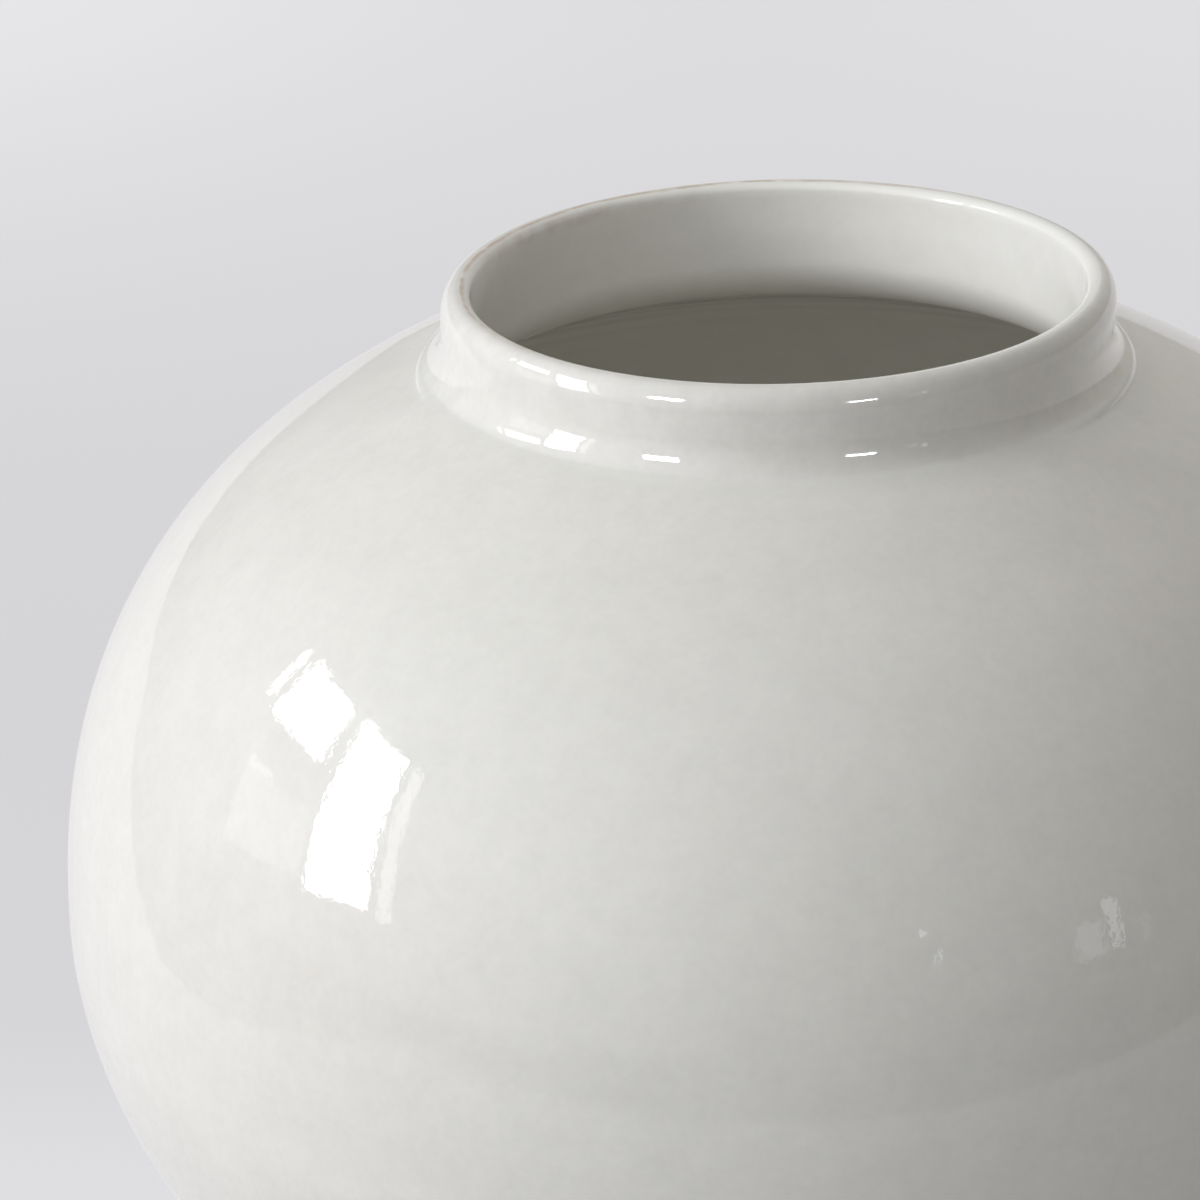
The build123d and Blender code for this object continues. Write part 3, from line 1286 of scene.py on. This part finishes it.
@dataclass(frozen=True)
class Stage:
    """A pale floor that glows to the camera and in the glaze, with painted light and shade in its
    brightness to the camera.

    It throws more light on the jar from the left than from the right. Beyond a corner on the
    left, and well in front, the glaze mirrors a darker floor.
    """

    radius: float = 30.0
    matt_left: tuple = (0.60, 0.61, 0.63)
    matt_right: tuple = (0.20, 0.20, 0.20)
    matt_edge: float = 0.3
    pale: tuple = (0.928, 0.912, 0.932)
    shown: float = 0.72
    dark: float = 0.3
    corner: tuple = (-0.875, -0.03)
    back_edge: tuple = (-0.97, 0.14, -0.85)
    front_edge: tuple = (-0.87, -0.16, 1.35)
    near_edge: float = -1.5
    edge_blur: float = 10 * MM

    def build(self) -> None:
        """Makes the floor as one flat face of 64 points round the axis."""
        angle = np.linspace(0, 2 * pi, 64, endpoint=False)
        rim = np.stack([self.radius * np.cos(angle), self.radius * np.sin(angle), 0 * angle], -1)
        mesh = bpy.data.meshes.new("floor")
        mesh.from_pydata(rim.tolist(), [], [list(range(len(rim)))])
        mesh.materials.append(self.finish())
        linked("floor", mesh)

    def finish(self) -> bpy.types.Material:
        """A matt floor, with a glow of its own to the camera and to glossy and clear rays.

        Returns:
            The material.
        """
        paint = Paint.named("pale_floor")
        rays = paint.node("ShaderNodeLightPath")
        kinds = ("Is Camera Ray", "Is Glossy Ray", "Is Transmission Ray")
        seen = [Amount(paint, rays.outputs[kind]) for kind in kinds]
        right = paint.rising(paint.x, -self.matt_edge, self.matt_edge) * (1 - seen[0])
        colour = paint.mixed(right, self.matt_left, self.matt_right)
        matt = paint.node("ShaderNodeBsdfDiffuse", None, Color=colour)
        mirrored = 1 - (1 - self.dark) * self.beyond(paint)
        # The camera sees the graded brightness, which is painted light and shade; the glaze sees the
        # mirrored one.
        level = mirrored + (self.graded_light_and_shade(paint) - mirrored) * seen[0]
        glow = paint.node("ShaderNodeEmission", None, Color=paint.scaled(level, self.pale), Strength=1.0)
        share = paint.maths("MINIMUM", seen[0] + seen[1] + seen[2], 1.0) * self.shown
        mix = paint.node("ShaderNodeMixShader", None, Fac=share)
        paint.tree.links.new(matt.outputs[0], mix.inputs[1])
        paint.tree.links.new(glow.outputs[0], mix.inputs[2])
        return paint.finished(mix)

    def graded_light_and_shade(self, paint: Paint) -> Amount:
        """The floor's painted light and shade as the camera sees it: greatest far back on the left, least
        beside the belly.

        Args:
            paint: The material's nodes.

        Returns:
            The brightness, 1 for the pale colour itself.
        """
        back = paint.rising(paint.y, 0.35, 2.1)
        right = paint.rising(paint.x, -0.8, 0.05)
        front = 1 - paint.rising(paint.y, 0.06, 0.22)
        return 0.8 + back * (0.27 - 0.15 * right) + 0.1 * front

    def beyond(self, paint: Paint) -> Amount:
        """1 where the floor is the dark one: left of the corner and between two edges, or far in front.

        Args:
            paint: The material's nodes.

        Returns:
            The share of the dark floor.
        """

        def past(distance: Amount) -> Amount:
            """A soft step at zero distance."""
            return paint.rising(distance, -self.edge_blur, self.edge_blur)

        left = past(self.corner[0] - paint.x)
        x, y, slope = self.back_edge
        left = left * past((paint.x - x) * slope + y - paint.y)
        x, y, slope = self.front_edge
        left = left * past(paint.y - y - (paint.x - x) * slope)
        return paint.maths("MAXIMUM", left, past(self.near_edge - paint.y))


class Reach(Enum):
    """What a lamp does: light and show in the glaze, only show in it, or only light."""

    ALL = "all"
    MIRRORED = "mirrored"
    LIGHTING = "lighting"


@dataclass(frozen=True)
class Lamp:
    """One rectangular lamp."""

    name: str
    centre: Vector
    right: Vector
    up: Vector
    size: tuple[float, float]
    glow: float
    tint: tuple = (1.0, 1.0, 1.0)
    reach: Reach = Reach.ALL
    spread: float = 180.0

    def build(self) -> None:
        """Hangs the lamp, hidden from the camera."""
        data = bpy.data.lights.new(self.name, "AREA")
        data.shape = "RECTANGLE"
        data.size, data.size_y = self.size
        data.energy = self.glow * pi * self.size[0] * self.size[1]
        data.color = self.tint
        data.spread = radians(self.spread)
        lamp = linked(self.name, data, hung(self.centre, self.right, self.up))
        lamp.visible_camera = False
        lamp.visible_diffuse = self.reach is not Reach.MIRRORED
        lamp.visible_glossy = self.reach is not Reach.LIGHTING


@dataclass(frozen=True)
class Window:
    """The paned window on the left that shows in the belly, in its own leaning plane."""

    centre: tuple = (-1.478, -0.293, 0.895)
    right: tuple = (-0.2886, -0.9042, 0.3147)
    up: tuple = (-0.0364, 0.3388, 0.9401)

    def build(self) -> None:
        """Hangs one lamp per pane: left, right, bottom and top on the plane, and glow."""
        panes = {
            "pane_upper": (-470, -78, 120, 475, 8.2),
            "pane_side_strip": (-558, -520, 150, 446, 4.5),
            "pane_tall": (22, 452, -440, 525, 11.0),
            "pane_near_strip": (525, 640, -485, 540, 2.6),
            "pane_low": (-445, -15, -395, -90, 0.8),
            "pane_low_glint": (-440, -300, -145, -70, 2.0),
        }
        right, up = Vector(self.right), Vector(self.up)
        for name, (left, end, low, high, glow) in panes.items():
            centre = Vector(self.centre) + right * (left + end) / 2 * MM + up * (low + high) / 2 * MM
            Lamp(name, centre, right, up, ((end - left) * MM, (high - low) * MM), glow).build()


@dataclass(frozen=True)
class FarPane:
    """A lamp that hangs at a distance from a place on the jar, and faces that place."""

    name: str
    place: tuple
    azimuth: float
    height: float
    distance: float
    width: float
    tall: float
    glow: float
    lean: float = 0.0
    tint: tuple = (1.0, 1.0, 1.0)
    spread: float = 180.0
    reach: Reach = Reach.MIRRORED

    def build(self) -> None:
        """Hangs the lamp. All angles are in degrees, seen from the place."""
        out = facing(self.azimuth, self.height)
        level = Vector((0, 0, 1)).cross(out).normalized()
        right, up = rolled(level, out.cross(level), radians(self.lean))
        size = tuple(2 * self.distance * tan(radians(angle / 2)) for angle in (self.width, self.tall))
        centre = Vector(self.place) + out * self.distance
        Lamp(self.name, centre, right, up, size, self.glow, self.tint, self.reach, self.spread).build()


def far_panes() -> list[FarPane]:
    """The faint window on the belly's right, the small glints of the collar and a low light behind.

    Returns:
        The lamps.
    """
    belly, dot, bluish = (0.080, -0.188, 0.268), (0.035, -0.200, 0.270), (0.85, 0.92, 1.0)
    left, right = (-0.031, -0.094, 0.365), (0.021, -0.097, 0.359)
    beam, flood = {"spread": 24.0}, {"spread": 80.0, "reach": Reach.LIGHTING}
    return [
        FarPane("far_strip", belly, 50.5, 16.6, 1.5, 2.0, 9.4, 2.0, -7.5),
        FarPane("far_pane", belly, 45.8, 14.8, 1.5, 4.4, 6.4, 1.0, -8.0),
        FarPane("far_side", belly, 55.0, 13.1, 1.5, 1.5, 5.0, 0.6, -6.0),
        FarPane("far_dot_high", dot, 21.5, 24.4, 1.5, 0.8, 1.6, 3.0, 20.0, bluish),
        FarPane("far_dot_low", dot, 22.8, 18.6, 1.5, 0.7, 2.6, 3.0, -20.0, bluish),
        FarPane("near_left", left, -38.5, 26.0, 0.25, 13.0, 8.0, 2.2, **beam),
        FarPane("near_right", right, 28.0, 17.5, 0.25, 11.0, 5.0, 0.8, 0.0, bluish, **beam),
        FarPane("low_behind", (0, 0, 0.2), 145.0, 5.0, 2.6, 45.0, 20.0, 1.5, **flood),
    ]


@dataclass(frozen=True)
class SoftLight:
    """Light from a wide part of the room, fading with the angle from its middle."""

    azimuth: float
    height: float
    colour: tuple
    sharpness: float = 6.0

    def glow(self, paint: Paint) -> bpy.types.NodeSocket:
        """Its colour times the cosine of the angle from its middle to the power of its sharpness.

        Args:
            paint: The world's nodes.

        Returns:
            The colour that it adds.
        """
        node = paint.node("ShaderNodeVectorMath", {"operation": "DOT_PRODUCT"})
        paint.tree.links.new(paint.coordinates, node.inputs[0])
        node.inputs[1].default_value = facing(self.azimuth, self.height)
        cosine = paint.maths("MAXIMUM", Amount(paint, node.outputs["Value"]), 0.0)
        return paint.scaled(cosine**self.sharpness, self.colour)


@dataclass(frozen=True)
class Daylight:
    """Soft light all round, strongest from the left, with a paler wall behind the jar."""

    fill: tuple = (0.25, 0.233, 0.227)
    wall: tuple = (0.095, 0.095, 0.103)
    wall_edge: float = 33.0
    wall_top: float = 42.0
    shown: tuple = (0.70, 0.70, 0.71)
    lights: tuple = (
        SoftLight(-180, 12, (0.086, 0.095, 0.078)),
        SoftLight(-135, 12, (0.05, 0.058, 0.068)),
        SoftLight(-90, 12, (0.162, 0.169, 0.215)),
        SoftLight(-45, 12, (0.431, 0.429, 0.493)),
        SoftLight(0, 12, (0.151, 0.143, 0.095)),
        SoftLight(-90, 30, (0.155, 0.159, 0.159), 14),
        SoftLight(-60, 30, (0.186, 0.181, 0.21), 14),
        SoftLight(-30, 30, (0.243, 0.245, 0.254), 14),
        SoftLight(-90, 45, (0.157, 0.182, 0.17)),
        SoftLight(-45, 45, (0.364, 0.397, 0.441)),
        SoftLight(0, 45, (0.023, 0.055, 0.021)),
        SoftLight(135, 45, (0.069, 0.042, 0.003)),
        SoftLight(-180, 65, (0.09, 0.101, 0.06), 14),
        SoftLight(-90, 65, (0.051, 0.068, 0.042), 14),
        SoftLight(0, 65, (0.056, 0.055, 0.075), 14),
        SoftLight(0, 90, (0.141, 0.158, 0.188)),
    )

    def build(self) -> None:
        """Makes the world: the fill plus the wall and every soft light, and a plain tone to the camera."""
        world = bpy.data.worlds.new("daylight")
        bpy.context.scene.world = world
        paint = Paint(world, "Generated")
        side = paint.y * tan(radians(self.wall_edge)) - paint.maths("ABSOLUTE", paint.x)
        low = 1 - paint.rising(paint.z, sin(radians(self.wall_top - 2)), sin(radians(self.wall_top)))
        total = paint.scaled(paint.rising(side, 0.0, 0.02) * low, self.wall)
        total = paint.summed(total, paint.scaled(1.0, self.fill))
        for light in self.lights:
            total = paint.summed(total, light.glow(paint))
        seen = Amount(paint, paint.node("ShaderNodeLightPath").outputs["Is Camera Ray"])
        background = paint.node("ShaderNodeBackground", None, Color=paint.mixed(seen, total, self.shown))
        paint.finished(background, "ShaderNodeOutputWorld")


@dataclass(frozen=True)
class Portrait:
    """The camera at the photograph's place."""

    stand_off: float = 885.84 * MM
    height: float = 672.83 * MM
    pitch: float = 0.4218
    yaw: float = -0.0625
    roll: float = -0.0400
    lens: float = 96.0
    sensor: float = 36.0

    def build(self) -> None:
        """Places the camera in front of the jar, turned by yaw, pitch and roll in radians."""
        ahead = cos(self.pitch)
        forward = Vector((sin(self.yaw) * ahead, cos(self.yaw) * ahead, -sin(self.pitch)))
        level = Vector((cos(self.yaw), -sin(self.yaw), 0))
        right, up = rolled(level, level.cross(forward), self.roll)
        data = bpy.data.cameras.new("portrait")
        data.lens, data.sensor_width = self.lens, self.sensor
        place = hung(Vector((0, -self.stand_off, self.height)), right, up)
        bpy.context.scene.camera = linked("portrait", data, place)


def main() -> None:
    """Builds the jar, its stage, its light and its camera in order."""
    logging.basicConfig(level=logging.INFO, format="%(name)s: %(message)s")
    bpy.context.scene.view_settings.view_transform = "Standard"
    bpy.context.scene.cycles.diffuse_bounces = DIFFUSE_BOUNCES
    jar = JarSizes.from_frame()
    hand = HandOfThePotter(jar)
    clay = BareClay("bare_porcelain").made(jar)
    slip = BareClay("fired_slip", body=(0.82, 0.765, 0.69)).made(jar)
    outer = GlazeFinish("milk_white_glaze").made(jar)
    # The inside's glaze is painted lighter than the outside's: its colour stands in for more light inside
    # the jar.
    inner = GlazeFinish(
        "inner_glaze_painted_lighter", cool=(0.921, 0.918, 0.881), warm=(0.940, 0.922, 0.880), shade=0.08
    ).made(jar)
    Bowls(jar, hand, clay, slip).build()
    Collar(jar, hand, clay, slip).build()
    Coats(jar, hand, outer, inner).build()
    Stage().build()
    Window().build()
    for pane in far_panes():
        pane.build()
    Daylight().build()
    Portrait().build()


if __name__ == "__main__":
    main()
